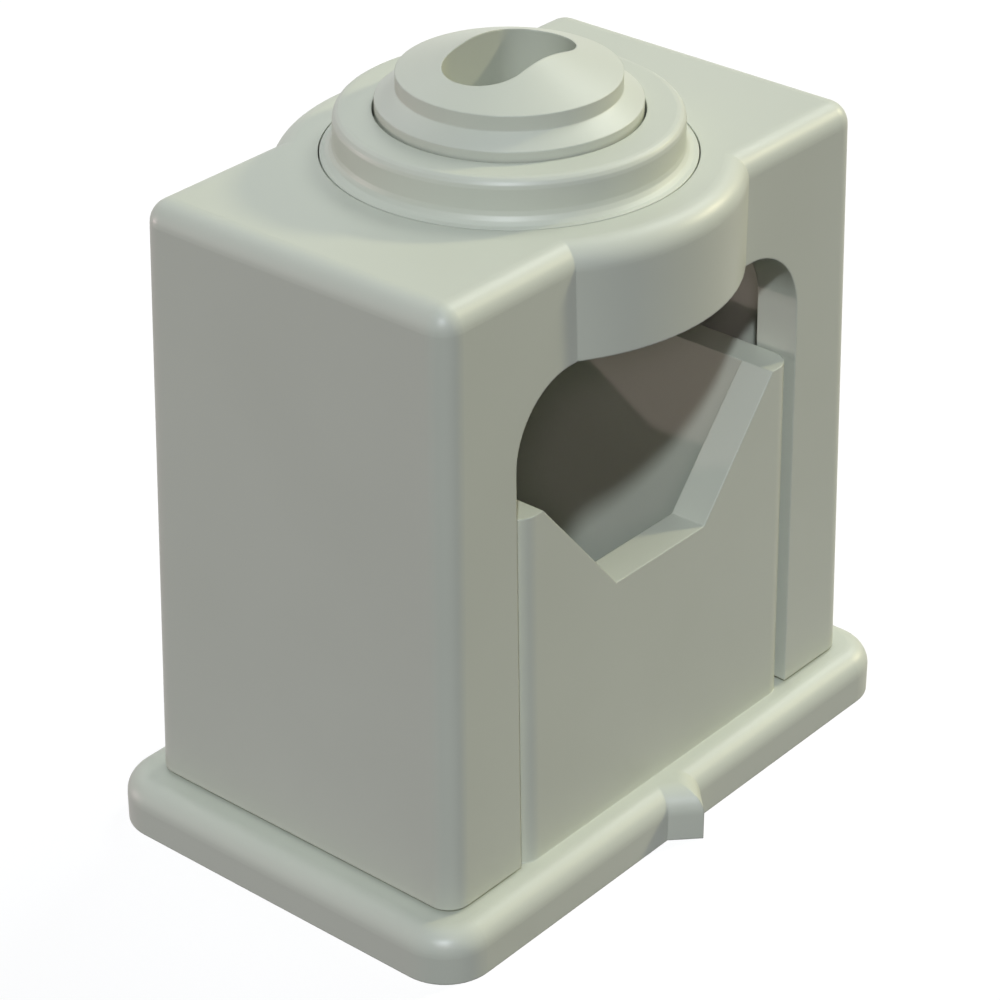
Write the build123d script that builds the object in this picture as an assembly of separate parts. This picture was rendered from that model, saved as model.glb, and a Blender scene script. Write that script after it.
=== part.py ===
from build123d import *
import math
import os

# A moulded cable clamp. A cap stands over a hollow V cradle on a base plate, and a screw in the cap's
# bush presses a saddle down on the cable. The cable runs along Y, through the arch in the cap.
# Sizes in millimetres. Z is up, z = 0 is the base's underside, and the screw turns about the Z axis.

# Base plate, with a centre nose on each long edge
base_width = 45.0
base_depth = 29.0
base_height = 3.35
base_corner_radius = 3.3
edge_radius = 1.5
nose_width = 3.3
nose_reach = 1.6

# Fixing screw's seat in the floor of the cradle
fixing_hole_diameter = 5.3
fixing_head_diameter = 10.0
fixing_pad_diameter = 14.0
fixing_pad_height = 1.6

# Cap, with its width and depth at the open lower end
cap_width = 40.0
cap_depth = 24.8
cap_gap = 0.24
wall = 3.0
draft = 1.0
inner_corner_radius = 0.8

# Arch passage through the front and rear walls of the cap
arch_width = 27.1
arch_top = 35.8
arch_corner_radius = 5.0
boss_height = 7.1

# Cradle, a hollow block with a V cut across its front and rear walls
cradle_side_clearance = 0.18
cradle_top = 27.4
cradle_side_wall = 2.2
cradle_end_wall = 2.8
cradle_corner_radius = 1.5
v_floor = 19.4
v_floor_width = 8.7

# Ribs on the cradle's sides that centre the cap
rib_width = 1.2
rib_top = 22.0
rib_clearance = 0.15

# Catches inside the cap that snap under a ledge in each side of the cradle
catch_width = 7.0
catch_bottom = 5.6
catch_height = 1.4
catch_bite = 0.6
catch_lead = 0.6
catch_pad_height = 4.4
catch_pad_slope = 1.0
catch_clearance = 0.2
ledge_height = 1.2
ledge_lead = 0.8

# Boss tube of the cap, and the bush that sits in it from below
boss_radius = 14.3
collar_height = 3.0
collar_step = 1.1
collar_flat_depth = 0.5
bush_radius = 10.5
bush_foot_radius = 0.8
bush_rise = 2.7
bush_edge_radius = 0.6
rounding_steps = 4
bush_fit = 0.08

# Clamp screw: a stepped conical head, a threaded shank and a button on a neck
head_radius = 8.0
head_bore_clearance = 0.14
head_rise = 0.6
head_in_bore = 0.9
step_height = 0.72
disc_radius = 6.75
disc_height = 0.95
cone_angle = 19.6
key_length = 9.4
key_width = 5.2
key_depth = 6.0
thread_radius = 6.85
thread_clearance = 0.05
screw_travel = 5.0
travel_clearance = 0.2
neck_radius = 3.0
neck_clearance = 0.08
button_radius = 4.2
button_height = 1.0
button_clearance = 0.2

# Pressure saddle, hung on the screw's button in a slot that opens to the rear
saddle_clearance = 0.25
saddle_height = 2.4
saddle_corner_radius = 1.0
pad_length = 12.0
pad_height = 2.0
pad_clearance = 0.5
pad_floor = 1.6
groove_depth = 0.6
ridge_height = 0.4
ridge_width = 1.0
ridge_count = 3

# Places worked out from the sizes above
lean = math.tan(math.radians(draft))
cap_bottom = base_height + cap_gap
cap_top = arch_top + boss_height
inner_width = cap_width - 2 * wall
inner_depth = cap_depth - 2 * wall
roof = cap_top - wall
cradle_width = arch_width - 2 * cradle_side_clearance
well_width = cradle_width - 2 * cradle_side_wall
well_depth = cap_depth - 2 * cradle_end_wall
fixing_seat = base_height + fixing_pad_height
seat_radius = bush_radius + bush_foot_radius
collar_radius = seat_radius + collar_step
collar_flat = collar_radius - collar_flat_depth
collar_top = arch_top + collar_height
bush_top = cap_top + bush_rise
head_rim = bush_top + head_rise
head_bottom = bush_top - head_in_bore
disc_bottom = head_rim + step_height
disc_rim = disc_bottom + disc_height
bore_bottom = head_bottom - screw_travel - travel_clearance
saddle_top = arch_top - travel_clearance
saddle_bottom = saddle_top - saddle_height
pad_bottom = saddle_bottom - pad_height
button_bottom = pad_bottom + pad_floor + button_clearance
button_top = button_bottom + button_height

# How far a cutting tool reaches past the face that it cuts
over = 1.0


def box(x0, x1, y0, y1, z0, z1):
    """A block between two opposite corners."""
    centre = Pos((x0 + x1) / 2, (y0 + y1) / 2, (z0 + z1) / 2)
    return centre * Box(x1 - x0, y1 - y0, z1 - z0)


def disc(radius, z0, z1):
    """An upright cylinder on the screw's axis."""
    return Pos(0, 0, z0) * Cylinder(radius, z1 - z0, align=(Align.CENTER, Align.CENTER, Align.MIN))


def drafted_block(width, depth, z0, z1):
    """A block that narrows upward by the moulding draft, from its full size at z0."""
    return extrude(Pos(0, 0, z0) * Rectangle(width, depth), z1 - z0, taper=draft)


def along_y(points, half_length):
    """A prism along Y, from its outline in X and Z."""
    return extrude(Plane.XZ * make_face(Polyline(*points, close=True)), half_length, both=True)


def turned(lines):
    """A solid turned about the screw's axis, from its half outline in radius and Z."""
    return revolve(Plane.XZ * make_face(lines), Axis.Z)


def quarter_round(radius, z, size, start):
    """Points of a quarter circle about (radius, z), turned as a few narrow cones."""
    angles = [math.radians(start + 90 * step / rounding_steps) for step in range(rounding_steps + 1)]
    return [(radius + size * math.cos(angle), z + size * math.sin(angle)) for angle in angles]


def upright_edges(shape):
    """The corner edges of a block, upright or leaning by the draft."""
    return [edge for edge in shape.edges() if abs(edge.tangent_at(0.5).Z) > 0.9]


def both_sides(shape):
    """A shape and its mirror image across the YZ plane."""
    return shape + mirror(shape, Plane.YZ)


def inner_half_width(z):
    """Half the width inside the cap at a height."""
    return inner_width / 2 - lean * (z - cap_bottom)


def inner_half_depth(z):
    """Half the depth inside the cap at a height."""
    return inner_depth / 2 - lean * (z - cap_bottom)


def make_plate():
    """The base plate with its two centre noses, rounded along the upper edge."""
    plate = extrude(RectangleRounded(base_width, base_depth, base_corner_radius), base_height)
    edge = base_depth / 2
    nose = Polyline((-nose_width / 2, 0), (-nose_width / 2, edge), (0, edge + nose_reach),
                    (nose_width / 2, edge), (nose_width / 2, 0), close=True)
    front = extrude(make_face(nose), base_height)
    plate += front + mirror(front, Plane.XZ)
    return fillet(plate.faces().sort_by(Axis.Z)[-1].edges(), edge_radius)


def make_cradle_block():
    """The block that fills the arch, flush with the cap's front and rear faces."""
    foot = cap_depth / 2
    crest = foot - lean * (cradle_top - base_height)
    side_view = Polyline((-foot, base_height), (foot, base_height),
                         (crest, cradle_top), (-crest, cradle_top), close=True)
    block = extrude(Plane.YZ * make_face(side_view), cradle_width / 2, both=True)
    return fillet(upright_edges(block), cradle_corner_radius)


def make_guide_ribs():
    """Four upright ribs beside the block, just inside the cap's front and rear walls."""
    guide = drafted_block(inner_width - 2 * rib_clearance, inner_depth - 2 * rib_clearance,
                          base_height, rib_top)
    guide = fillet(upright_edges(guide), inner_corner_radius)
    face = inner_half_depth(rib_top) - rib_clearance
    rib = box(cradle_width / 2 - cradle_side_wall / 2, inner_width / 2,
              face - rib_width, inner_depth / 2, base_height, rib_top)
    pair = rib + mirror(rib, Plane.XZ)
    return both_sides(pair & guide)


def make_catch_channel():
    """The cut in the block's right side where a catch of the cap runs, with its ledge left standing."""
    face = cradle_width / 2
    bed = face - catch_bite - catch_clearance
    ledge_bottom = catch_bottom + catch_height + catch_clearance
    ledge_top = ledge_bottom + ledge_height
    pocket = [(bed, catch_bottom - ledge_lead), (face + over, catch_bottom - ledge_lead),
              (face + over, ledge_bottom), (bed, ledge_bottom)]
    run = [(bed, ledge_top), (face, ledge_top - ledge_lead), (face + over, ledge_top - ledge_lead),
           (face + over, cradle_top + over), (bed, cradle_top + over)]
    half = catch_width / 2 + catch_clearance
    return along_y(pocket, half) + along_y(run, half)


def make_base_cradle():
    """Base plate, hollow V cradle, ribs and catch ledges, moulded as one."""
    half_well = well_width / 2
    half_floor = v_floor_width / 2
    v_cut = [(-half_well, cradle_top + over), (-half_well, cradle_top), (-half_floor, v_floor),
             (half_floor, v_floor), (half_well, cradle_top), (half_well, cradle_top + over)]
    body = make_cradle_block() + make_guide_ribs()
    body -= box(-half_well, half_well, -well_depth / 2, well_depth / 2, base_height, cradle_top + over)
    body -= along_y(v_cut, cap_depth)
    body -= both_sides(make_catch_channel())
    body += make_plate()
    body += disc(fixing_pad_diameter / 2, base_height - over, fixing_seat)
    hole = fixing_hole_diameter / 2
    head = fixing_head_diameter / 2
    body -= disc(hole, -over, fixing_seat + over)
    countersink = Polyline((0, fixing_seat - head), (head, fixing_seat),
                           (head, fixing_seat + over), (0, fixing_seat + over), close=True)
    return body - turned(countersink)


def make_catch():
    """The catch inside the cap's right wall: a pad that ends in a nib."""
    pad = cradle_width / 2 + catch_clearance
    nib = cradle_width / 2 - catch_bite
    root = inner_width / 2 + wall / 2
    pad_top = catch_bottom + catch_pad_height
    outline = [(pad, catch_bottom), (nib, catch_bottom + catch_lead),
               (nib, catch_bottom + catch_height), (pad, catch_bottom + catch_height),
               (pad, pad_top), (root, pad_top + catch_pad_slope),
               (root, catch_bottom)]
    return along_y(outline, catch_width / 2)


def make_cap():
    """The cap: drafted walls, arch passage, boss tube with the bush's seat, and the catches."""
    shell = drafted_block(cap_width, cap_depth, cap_bottom, cap_top)
    shell += disc(boss_radius, arch_top, cap_top)
    corners = [edge for edge in upright_edges(shell) if abs(edge.center().X) > inner_width / 2]
    shell = fillet(corners + shell.faces().sort_by(Axis.Z)[-1].edges(), edge_radius)
    hollow = drafted_block(inner_width, inner_depth, cap_bottom, roof)
    hollow = fillet(upright_edges(hollow), inner_corner_radius)
    shell -= hollow - disc(boss_radius, arch_top, roof)
    arch_height = arch_top + arch_width
    arch = RectangleRounded(arch_width, arch_height, arch_corner_radius, align=(Align.CENTER, Align.MAX))
    shell -= extrude(Plane.XZ * Pos(0, arch_top) * arch, cap_depth, both=True)
    shell -= disc(seat_radius + bush_fit, arch_top - over, cap_top + over)
    collar_seat = disc(collar_radius + bush_fit, arch_top - over, collar_top)
    flat = collar_flat + bush_fit
    shell -= collar_seat & box(-flat, flat, -boss_radius, boss_radius, arch_top - over, collar_top)
    return shell + both_sides(make_catch())


def make_screw_bush():
    """The bush: a collar under the boss tube's step, a hollow foot fillet and a rounded rim."""
    bore = head_radius + head_bore_clearance
    thread = thread_radius + thread_clearance
    foot = quarter_round(seat_radius, cap_top + bush_foot_radius, bush_foot_radius, 180)
    rim = quarter_round(bush_radius - bush_edge_radius, bush_top - bush_edge_radius, bush_edge_radius, 0)
    inside = [(bore, bush_top), (bore, bore_bottom), (thread, bore_bottom), (thread, arch_top)]
    collar = [(collar_radius, arch_top), (collar_radius, collar_top), (seat_radius, collar_top)]
    bush = turned(Polyline(*inside, *collar, *reversed(foot), *rim, close=True))
    flat = box(collar_flat, collar_radius + over, -collar_radius, collar_radius, arch_top, collar_top)
    return bush - both_sides(flat)


def make_clamp_screw():
    """The screw: two conical steps, an oblong key hole, the shank, and a button on a neck."""
    apex = disc_rim + disc_radius * math.tan(math.radians(cone_angle))
    outline = Polyline((0, button_bottom), (button_radius, button_bottom), (button_radius, button_top),
                       (neck_radius, button_top), (neck_radius, arch_top), (thread_radius, arch_top),
                       (thread_radius, head_bottom), (head_radius, head_bottom), (head_radius, head_rim),
                       (disc_radius, disc_bottom), (disc_radius, disc_rim), (0, apex), close=True)
    key = Pos(0, 0, disc_rim - key_depth) * SlotOverall(key_length, key_width)
    return turned(outline) - extrude(key, key_depth + apex - disc_rim)


def make_pressure_saddle():
    """The saddle: a plate that slides in the cap, and a ridged pad that goes down into the cradle."""
    half_width = inner_half_width(saddle_top) - saddle_clearance
    half_depth = inner_half_depth(saddle_top) - saddle_clearance
    plate = Pos(0, 0, saddle_bottom) * RectangleRounded(2 * half_width, 2 * half_depth,
                                                        saddle_corner_radius)
    pad_half = well_width / 2 - pad_clearance
    saddle = extrude(plate, saddle_height)
    saddle += box(-pad_half, pad_half, -pad_length / 2, pad_length / 2, pad_bottom, saddle_bottom)
    groove = [(-pad_half, pad_bottom), (0, pad_bottom + groove_depth), (pad_half, pad_bottom)]
    ridges = Part()
    for number in range(ridge_count):
        y = pad_length * ((number + 0.5) / ridge_count - 0.5)
        ridges += box(-pad_half, pad_half, y - ridge_width / 2, y + ridge_width / 2,
                      pad_bottom - over, pad_bottom + ridge_height)
    saddle -= along_y(groove, pad_length) - ridges
    neck = neck_radius + neck_clearance
    button = button_radius + button_clearance
    neck_slot = disc(neck, button_top, saddle_top + over)
    neck_slot += box(-neck, neck, 0, half_depth + over, button_top, saddle_top + over)
    chamber_bottom = button_bottom - button_clearance
    chamber_top = button_top + button_clearance
    chamber = disc(button, chamber_bottom, chamber_top)
    chamber += box(-button, button, 0, half_depth + over, chamber_bottom, chamber_top)
    return saddle - neck_slot - chamber


nodes = {
    "base_cradle": make_base_cradle(),
    "cap": make_cap(),
    "screw_bush": make_screw_bush(),
    "clamp_screw": make_clamp_screw(),
    "pressure_saddle": make_pressure_saddle(),
}

os.makedirs("parts", exist_ok=True)
for name, shape in nodes.items():
    export_step(shape, f"parts/{name}.step")
    print(name, round(shape.volume, 1), shape.bounding_box())
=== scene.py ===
# %% [markdown]
# # A moulded cable clamp
#
# This lesson dresses a small screw clamp for round cables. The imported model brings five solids, each
# in metres, standing where it belongs: a base plate with a hollow V cradle, a cap, a bush in the cap's
# boss, a clamp screw, and a saddle that the screw presses down on the cable.
#
# Nothing here moves or reshapes those solids. The lesson gives them a plastic, adds the thread that is
# too fine for the model, and sets the camera, the floor and the light.

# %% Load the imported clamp
import math

import bpy
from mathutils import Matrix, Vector


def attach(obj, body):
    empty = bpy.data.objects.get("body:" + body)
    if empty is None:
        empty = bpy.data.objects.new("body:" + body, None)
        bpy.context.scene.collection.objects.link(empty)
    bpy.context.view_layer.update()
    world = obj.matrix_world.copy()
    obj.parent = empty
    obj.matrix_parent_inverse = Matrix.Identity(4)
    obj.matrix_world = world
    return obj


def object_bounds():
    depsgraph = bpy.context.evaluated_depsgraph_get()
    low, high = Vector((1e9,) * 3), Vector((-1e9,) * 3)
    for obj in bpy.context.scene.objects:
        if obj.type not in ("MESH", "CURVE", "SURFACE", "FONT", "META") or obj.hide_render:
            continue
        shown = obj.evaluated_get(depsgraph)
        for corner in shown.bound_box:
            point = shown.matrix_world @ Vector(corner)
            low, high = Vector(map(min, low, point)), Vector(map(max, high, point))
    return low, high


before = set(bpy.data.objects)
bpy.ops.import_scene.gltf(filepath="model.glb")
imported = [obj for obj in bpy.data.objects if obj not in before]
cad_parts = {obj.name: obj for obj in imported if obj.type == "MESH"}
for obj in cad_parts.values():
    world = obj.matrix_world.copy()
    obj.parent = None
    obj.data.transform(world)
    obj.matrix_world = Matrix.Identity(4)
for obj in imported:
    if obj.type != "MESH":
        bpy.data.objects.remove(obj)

MM = 0.001
packed_box = [list(corner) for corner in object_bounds()]
print("solids:", sorted(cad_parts))
print("height in mm:", round((packed_box[1][2] - packed_box[0][2]) / MM, 1))

# %% [markdown]
# ## Colours
#
# Colours are written as sRGB hex values, the way a paint chart gives them, and a shader needs them
# linear. One function does that for the whole file.

# %% Colour helper
WHITE = "#FFFFFF"
LIGHT_GREY = "#C9CEC0"


def linear(hex_colour, alpha=1.0):
    """A hex colour as the linear values that a shader uses."""
    parts = [int(hex_colour[i:i + 2], 16) / 255 for i in (1, 3, 5)]
    return (*[c / 12.92 if c <= 0.04045 else ((c + 0.055) / 1.055) ** 2.4 for c in parts], alpha)


print("light grey as linear values:", [round(c, 3) for c in linear(LIGHT_GREY)])

# %% [markdown]
# ## Objects and nodes
#
# Three more helpers keep the rest short. One puts data into the scene as an object. One empties the node
# tree of a material or a world. The last adds a node with its settings and links in one line, so that a
# material reads from top to bottom like a recipe. A link is named for the socket, or for its number
# after an underscore where several sockets share a name.

# %% Object and node helpers


def placed(name, data):
    """A new object in the scene, at the origin."""
    made = bpy.data.objects.new(name, data)
    bpy.context.scene.collection.objects.link(made)
    return made


def empty_tree(owner):
    """The emptied node tree of a material or a world."""
    owner.use_nodes = True
    owner.node_tree.nodes.clear()
    return owner.node_tree


def node(tree, kind, settings=(), **links):
    """A new node; links name its inputs and give a value or another node's output."""
    made = tree.nodes.new(kind)
    for name, value in dict(settings).items():
        setattr(made, name, value)
    for name, value in links.items():
        socket = made.inputs[int(name[1:])] if name[1:].isdigit() else made.inputs[name.replace("_", " ")]
        if isinstance(value, bpy.types.NodeSocket):
            tree.links.new(value, socket)
        else:
            socket.default_value = value
    return made


# %% [markdown]
# ## The camera
#
# The view is from the front left and about 30 degrees above the horizon, with a long lens, so that
# upright edges stay nearly upright. The distance and the lens belong together: the convergence of the
# base plate's long edges fixes the distance, and the size in the frame then fixes the lens.
#
# The camera, and later each lamp, is placed by two angles in degrees. Azimuth 0 is in front of the clamp
# and 90 is on its right, and the elevation is the height above the horizon.

# %% Sizes of the view
camera_target = Vector((0.553, 1.180, 18.0)) * MM
camera_azimuth = -49.85
camera_elevation = 30.126
camera_distance = 214.35 * MM
lens_length = 121.58
sensor_width = 36
nearest, farthest = 1 * MM, 10000 * MM


def direction(azimuth, elevation):
    """The way from the clamp to a camera or lamp at these angles in degrees."""
    around, up = math.radians(azimuth), math.radians(elevation)
    return Vector((math.sin(around) * math.cos(up), -math.cos(around) * math.cos(up), math.sin(up)))


away = direction(camera_azimuth, camera_elevation)
print("towards the camera:", [round(part, 3) for part in away])

# %% Camera
camera_data = bpy.data.cameras.new("camera")
camera = placed("camera", camera_data)
camera.location = camera_target + away * camera_distance
camera.rotation_mode = "QUATERNION"
camera.rotation_quaternion = (-away).to_track_quat("-Z", "Y")
camera_data.sensor_width = sensor_width
camera_data.lens = lens_length
camera_data.clip_start, camera_data.clip_end = nearest, farthest
bpy.context.scene.camera = camera
print("camera at", [round(c / MM, 1) for c in camera.location], "mm")

# %% [markdown]
# ## The plastic
#
# Clamps like this one are moulded in polyamide, coloured right through in a light grey with a little
# green. Four things give such a moulding away, and each is a few nodes:
#
# - **Spark-eroded texture.** The mould is cut by sparks, which leaves tiny rounded pits and peaks. The
#   real ones are about 0.03 mm across, finer than a pixel of the picture, so they are drawn at 0.12 mm.
# - **Flow marks.** The melt doesn't cool evenly, so the gloss drifts over some 8 mm.
# - **Pigment.** The colour drifts too, by a percent or so, over about 12 mm.
# - **Soft edges.** No moulded edge is knife sharp. A Bevel node turns the normals near an edge, so that
#   each edge of the model catches the light as if it had a small round, and the mesh stays as it is.
#
# All the patterns read Object coordinates, in metres, so they sit in the plastic whatever the pose.

# %% Patterns that drift
NOISE_LOW, NOISE_HIGH = 0.3, 0.7  # most of a noise texture's values lie between these


def noise(tree, place, size, detail=2.0):
    """Noise whose bumps are about as wide as the given size in metres."""
    return node(tree, "ShaderNodeTexNoise", Vector=place, Scale=1 / size, Detail=detail, Roughness=0.5)


def drift(tree, place, size, low=0.0, high=1.0):
    """A value that wanders from low to high and back over about the given size."""
    return node(tree, "ShaderNodeMapRange", Value=noise(tree, place, size).outputs[0],
                From_Min=NOISE_LOW, From_Max=NOISE_HIGH, To_Min=low, To_Max=high).outputs[0]


print("noise is stretched from", (NOISE_LOW, NOISE_HIGH), "to the range that is asked for")

# %% Moulded polyamide
DEEPER_GREY = "#C6CBBD"
POLYAMIDE_IOR = 1.53
PIGMENT_SIZE = 12 * MM
FLOW_SIZE = 8 * MM
GLOSS_DRIFT = 0.03
PIT_SIZE = 0.12 * MM
PIT_DEPTH = 0.0015 * MM
EDGE_ROUND = 0.14 * MM
EDGE_SAMPLES = 6


def moulded_polyamide(name, roughness, shift):
    """A plastic coloured right through, with the mould's texture; shift moves the patterns, in mm."""
    material = bpy.data.materials.new(name)
    tree = empty_tree(material)
    coordinates = node(tree, "ShaderNodeTexCoord").outputs["Object"]
    place = node(tree, "ShaderNodeMapping", Vector=coordinates, Location=Vector(shift) * MM).outputs[0]
    pigment = drift(tree, place, PIGMENT_SIZE)
    tint = node(tree, "ShaderNodeMix", {"data_type": "RGBA"}, _0=pigment, _6=linear(LIGHT_GREY),
                _7=linear(DEEPER_GREY)).outputs[2]
    gloss = drift(tree, place, FLOW_SIZE, roughness - GLOSS_DRIFT, roughness + GLOSS_DRIFT)
    edges = node(tree, "ShaderNodeBevel", {"samples": EDGE_SAMPLES}, Radius=EDGE_ROUND).outputs[0]
    pits = noise(tree, place, PIT_SIZE, detail=1.0).outputs[0]
    bump = node(tree, "ShaderNodeBump", Height=pits, Strength=1.0, Distance=PIT_DEPTH,
                Normal=edges).outputs[0]
    shader = node(tree, "ShaderNodeBsdfPrincipled", Base_Color=tint, Roughness=gloss, IOR=POLYAMIDE_IOR,
                  Normal=bump)
    node(tree, "ShaderNodeOutputMaterial", Surface=shader.outputs[0])
    return material


print("gloss drifts by", GLOSS_DRIFT, "either way, and edges look", EDGE_ROUND / MM, "mm round")

# %% [markdown]
# ## One finish for each moulding
#
# The five pieces came out of five moulds. Each gets a finish of its own, with its patterns shifted, so
# that no two pieces show the same marks. The screw is a touch glossier than the rest, and the saddle a
# touch duller.

# %% Finishes
mouldings = {  # the solid: its finish, the roughness, and the shift of the patterns in mm
    "base_cradle": ("polyamide_base", 0.42, (0, 0, 0)),
    "cap": ("polyamide_cap", 0.42, (31, 7, 3)),
    "screw_bush": ("polyamide_bush", 0.42, (5, 43, 9)),
    "clamp_screw": ("polyamide_screw", 0.41, (17, 2, 51)),
    "pressure_saddle": ("polyamide_saddle", 0.44, (9, 71, 5)),
}
finishes = {name: moulded_polyamide(*moulding) for name, moulding in mouldings.items()}
for name, finish in finishes.items():
    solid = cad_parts[name]
    solid.data.materials.clear()
    solid.data.materials.append(finish)
    print(name, "is", finish.name)

# %% [markdown]
# ## The thread of the clamp screw
#
# The model's screw has a plain shank, because a helix costs a solid thousands of faces. The real one has
# a coarse moulded thread, which shows through the arch once the screw is turned down. A thread follows a
# rule, so Geometry Nodes make it: a spiral as the path, with its normal kept level, and a small
# trapezium swept along it, wide side inwards. Its scale grows from next to nothing at both ends of the
# path, which makes the run-outs, and its foot bites a little into the shank, so that no gap shows.
#
# The pitch isn't a free choice. The saddle goes down 5 mm in two turns of the screw, so it is 2.5 mm.

# %% Sizes of the thread
shank_radius = 6.85 * MM
thread_pitch = 2.5 * MM
thread_turns = 3.0
thread_start = 36.4 * MM
ridge_height = 0.45 * MM
root_width = 1.3 * MM
crest_width = 0.6 * MM
root_bite = 0.08 * MM
run_out = 0.05  # a share of the path, at each end
tip_scale = 0.02  # what is left of the ridge at its very tips
steps_per_turn = 72
sharp_angle = 30
print("thread in mm:", round(2 * (shank_radius + ridge_height - root_bite) / MM, 2), "across,",
      round(thread_pitch * thread_turns / MM, 2), "long")

# %% Inputs of the thread's node group


def thread_inputs(tree):
    """Gives the group its named inputs, and returns them as the outputs of its input node."""
    sizes = {"Radius": shank_radius, "Start": thread_start, "Pitch": thread_pitch, "Turns": thread_turns,
             "Ridge height": ridge_height, "Root width": root_width, "Crest width": crest_width,
             "Bite": root_bite, "Run out": run_out}
    for name, value in sizes.items():
        tree.interface.new_socket(name, in_out="INPUT", socket_type="NodeSocketFloat").default_value = value
    tree.interface.new_socket("Material", in_out="INPUT", socket_type="NodeSocketMaterial")
    return node(tree, "NodeGroupInput").outputs


def helical_path(tree, given):
    """A right-handed spiral up the Z axis, with its normal kept level."""
    rise = node(tree, "ShaderNodeMath", {"operation": "MULTIPLY"}, _0=given["Pitch"], _1=given["Turns"])
    path = node(tree, "GeometryNodeCurveSpiral", Resolution=steps_per_turn, Rotations=given["Turns"],
                Reverse=True, Start_Radius=given["Radius"], End_Radius=given["Radius"],
                Height=rise.outputs[0])
    lift = node(tree, "ShaderNodeCombineXYZ", Z=given["Start"])
    path = node(tree, "GeometryNodeTransform", Geometry=path.outputs[0], Translation=lift.outputs[0])
    return node(tree, "GeometryNodeSetCurveNormal", {"mode": "Z_UP"}, Curve=path.outputs[0]).outputs[0]


def ridge_profile(tree, given):
    """The thread's trapezium, its wide side turned inwards and sunk into the shank by the bite."""
    profile = node(tree, "GeometryNodeCurvePrimitiveQuadrilateral", {"mode": "TRAPEZOID"},
                   Height=given["Ridge height"], Bottom_Width=given["Root width"],
                   Top_Width=given["Crest width"], Offset=0.0)
    sunk = node(tree, "ShaderNodeMath", {"operation": "MULTIPLY"}, _0=given["Bite"], _1=-1.0)
    middle = node(tree, "ShaderNodeMath", {"operation": "MULTIPLY_ADD"}, _0=given["Ridge height"],
                  _1=0.5, _2=sunk.outputs[0])
    outward = node(tree, "ShaderNodeCombineXYZ", X=middle.outputs[0])
    return node(tree, "GeometryNodeTransform", Geometry=profile.outputs[0],
                Translation=outward.outputs[0], Rotation=(0, 0, math.radians(-90))).outputs[0]


print("ridge in mm:", round(root_width / MM, 2), "wide at the root,", round(crest_width / MM, 2),
      "at the crest")

# %% Node group of the thread


def thread_tree():
    """The node group that draws a helical ridge round the Z axis."""
    tree = bpy.data.node_groups.new("screw thread", "GeometryNodeTree")
    given = thread_inputs(tree)
    tree.interface.new_socket("Geometry", in_out="OUTPUT", socket_type="NodeSocketGeometry")
    path = helical_path(tree, given)
    profile = ridge_profile(tree, given)
    along = node(tree, "GeometryNodeSplineParameter").outputs["Factor"]
    # The distance to the nearer end of the path: 0 at both ends and 0.5 in the middle
    from_end = node(tree, "ShaderNodeMath", {"operation": "PINGPONG"}, _0=along, _1=0.5).outputs[0]
    swell = node(tree, "ShaderNodeMapRange", Value=from_end, From_Max=given["Run out"], To_Min=tip_scale)
    ridge = node(tree, "GeometryNodeCurveToMesh", Curve=path, Profile_Curve=profile,
                 Scale=swell.outputs[0], Fill_Caps=True)
    real = node(tree, "GeometryNodeRealizeInstances", Geometry=ridge.outputs[0])
    coated = node(tree, "GeometryNodeSetMaterial", Geometry=real.outputs[0], Material=given["Material"])
    node(tree, "NodeGroupOutput", _0=coated.outputs[0])
    return tree


helix = thread_tree()
print("inputs:", [item.name for item in helix.interface.items_tree if item.in_out == "INPUT"])

# %% [markdown]
# ## From nodes to a plain mesh
#
# A node group needs a carrier object. Its inputs are set by their identifiers before the carrier is first
# evaluated, then the result is copied into a plain mesh and the carrier goes. What stays is an ordinary
# piece at the origin, which rides on the screw's body: it turns and comes down as the screw does.

# %% Screw thread


def grown(name, tree, **values):
    """A plain mesh object from a node group, at the origin."""
    carrier = placed(name + "_carrier", bpy.data.meshes.new(name + "_carrier"))
    modifier = carrier.modifiers.new("nodes", "NODES")
    modifier.node_group = tree
    for item in tree.interface.items_tree:
        if item.in_out == "INPUT" and item.name in values:
            modifier[item.identifier] = values[item.name]
    evaluated = carrier.evaluated_get(bpy.context.evaluated_depsgraph_get())
    mesh = bpy.data.meshes.new_from_object(evaluated)
    bpy.data.objects.remove(carrier)
    return placed(name, mesh)


thread = grown("clamp_thread", helix, Material=finishes["clamp_screw"])
thread.data.set_sharp_from_angle(angle=math.radians(sharp_angle))
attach(thread, "screw")
radii = [math.hypot(point.co.x, point.co.y) / MM for point in thread.data.vertices]
print("thread triangles:", sum(len(face.vertices) - 2 for face in thread.data.polygons))
print("radius from", round(min(radii), 3), "to", round(max(radii), 3), "mm")

# %% [markdown]
# ## Floor and backdrop
#
# The picture's ground is white right up to the clamp. A floor that was only lit would need far too much
# light for that, so rays from the camera and from glossy surfaces see most of the floor's white as a
# colour of its own, and the rest as light that it receives. That rest carries the clamp's soft shadow.
# To every other ray the floor is dark, as a studio's black table is, so that it throws hardly any light
# up at the clamp's sides.

# %% Studio paper
FLOOR_GLOW = 0.86
FLOOR_PALE = "#7A7A7A"
FLOOR_DARK = "#202020"


def background_rays(tree):
    """One for rays from the camera and from glossy or clear surfaces, and zero for all others."""
    ray = node(tree, "ShaderNodeLightPath").outputs
    seen = node(tree, "ShaderNodeMath", {"operation": "MAXIMUM"}, _0=ray["Is Camera Ray"],
                _1=ray["Is Glossy Ray"])
    return node(tree, "ShaderNodeMath", {"operation": "MAXIMUM"}, _0=seen.outputs[0],
                _1=ray["Is Transmission Ray"]).outputs[0]


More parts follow.
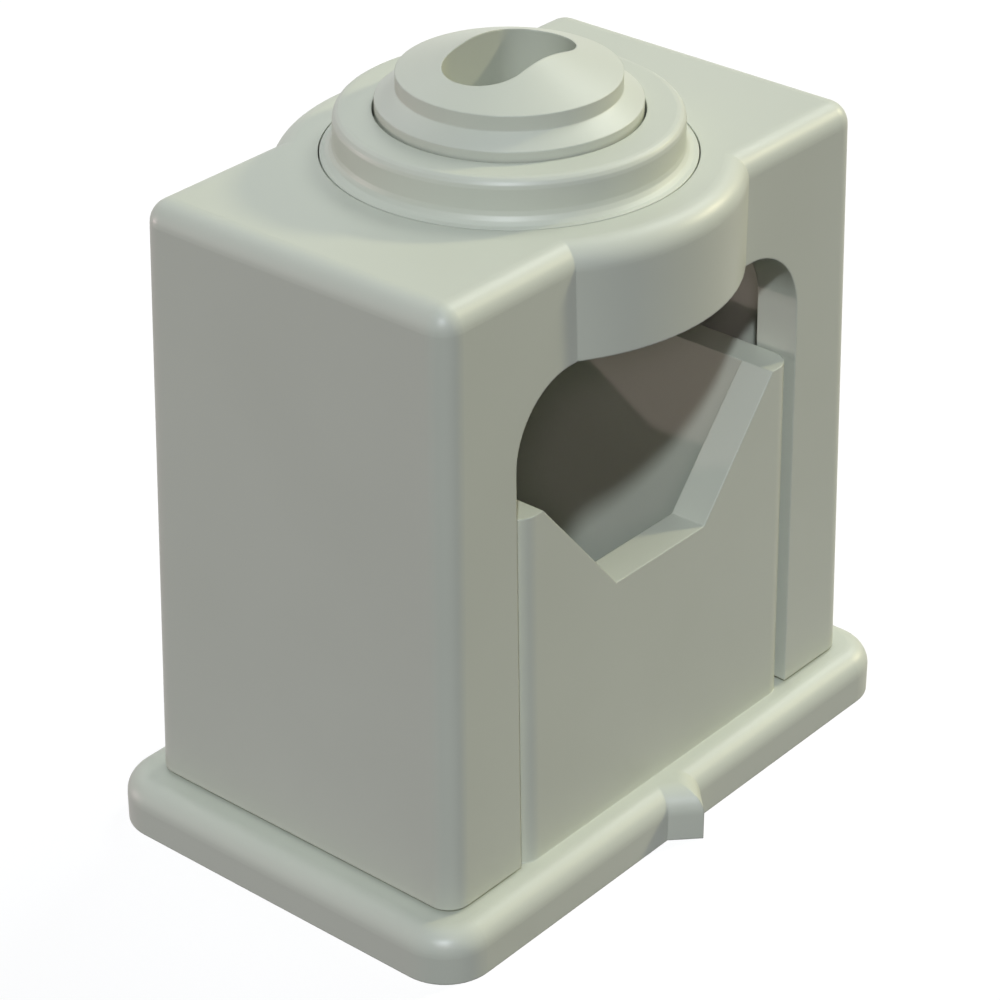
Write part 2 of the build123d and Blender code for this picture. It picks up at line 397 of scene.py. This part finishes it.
def studio_paper():
    """White paper to the camera's eye, and a dark table to the light that falls on it."""
    material = bpy.data.materials.new("studio_paper")
    tree = empty_tree(material)
    glow = node(tree, "ShaderNodeEmission", Color=linear(WHITE), Strength=FLOOR_GLOW)
    pale = node(tree, "ShaderNodeBsdfDiffuse", Color=linear(FLOOR_PALE))
    white = node(tree, "ShaderNodeAddShader", _0=glow.outputs[0], _1=pale.outputs[0])
    dark = node(tree, "ShaderNodeBsdfDiffuse", Color=linear(FLOOR_DARK))
    mix = node(tree, "ShaderNodeMixShader", _0=background_rays(tree), _1=dark.outputs[0],
               _2=white.outputs[0])
    node(tree, "ShaderNodeOutputMaterial", Surface=mix.outputs[0])
    return material


print("floor glows at", FLOOR_GLOW, "of white, and the lamps bring the rest")

# %% Floor
floor_size = 3000 * MM
half = floor_size / 2
floor_mesh = bpy.data.meshes.new("floor")
floor_mesh.from_pydata([(-half, -half, 0), (half, -half, 0), (half, half, 0), (-half, half, 0)], [],
                       [(0, 1, 2, 3)])
floor_mesh.materials.append(studio_paper())
floor = placed("floor", floor_mesh)
floor.location.z = packed_box[0][2]
floor.visible_shadow = False
print("floor at", round(floor.location.z / MM, 2), "mm")

# %% [markdown]
# ## Light
#
# The picture's shadows tell where its lamps stand. The boss throws a soft shadow down into the arch, so
# the main lamp is high on the front left. The round head throws one to the left across the cap's top,
# which ends before the cap does, so a warm lamp is on the right, some 25 degrees up. Its glint runs along
# the rounded front edges. A faint lamp behind the clamp, just under the horizon, shines through the arch
# and draws the crisp lines inside the cradle. The floor casts no shadow, so it lets that lamp through.
#
# Three wide lamps, from the right, from straight above and from behind, fill what is left. The last lamp
# is faint and stands beside the camera, where no shadow of its own shows. It lifts the depth of the
# arch, which would be too dark without it.

# %% World
fill_strength = 0.04


def studio_world(strength):
    """A weak fill from all round, and plain white wherever the camera looks past the clamp."""
    world = bpy.data.worlds.new("studio")
    bpy.context.scene.world = world
    tree = empty_tree(world)
    fill = node(tree, "ShaderNodeBackground", Color=linear(WHITE), Strength=strength)
    white = node(tree, "ShaderNodeBackground", Color=linear(WHITE), Strength=1.0)
    mix = node(tree, "ShaderNodeMixShader", _0=background_rays(tree), _1=fill.outputs[0],
               _2=white.outputs[0])
    node(tree, "ShaderNodeOutputWorld", Surface=mix.outputs[0])


studio_world(fill_strength)
print("fill from all round:", fill_strength, "of white")

# %% [markdown]
# ## Lamps
#
# A sun is written here by where it stands, with the same two angles as the camera, and then by its width
# in degrees, which makes its shadows soft. A strength of 1 lights a white surface that faces it up to
# white.

# %% Lamps


def sun(name, azimuth, elevation, width, strength, colour):
    """A far lamp, as wide as its angle in degrees."""
    data = bpy.data.lights.new(name, "SUN")
    data.energy = strength * math.pi
    data.color = linear(colour)[:3]
    data.angle = math.radians(width)
    lamp = placed(name, data)
    lamp.rotation_mode = "QUATERNION"
    lamp.rotation_quaternion = direction(azimuth, elevation).to_track_quat("Z", "Y")
    return lamp


lamps = [
    sun("main_front_left", -52.6, 45.2, 3, 0.54, "#EFF7FF"),
    sun("warm_right", 69.5, 24.5, 5, 0.43, "#FFF4C8"),
    sun("low_behind", -151.6, -2.6, 2, 0.18, "#FFE2E4"),
    sun("wide_right", 90.0, 45.0, 20, 0.26, "#FCFFF8"),
    sun("wide_above", 0.0, 89.9, 30, 0.10, "#E8F4FF"),
    sun("wide_behind", 172.0, 40.0, 30, 0.07, WHITE),
    sun("beside_camera", -49.9, 30.1, 8, 0.09, "#FFE8F2"),
]
print("lamps:", {lamp.name: round(lamp.data.energy, 2) for lamp in lamps})

# %% [markdown]
# ## The view transform
#
# The view transform Standard shows a colour as it is written.

# %% Finish
bpy.context.scene.view_settings.view_transform = "Standard"
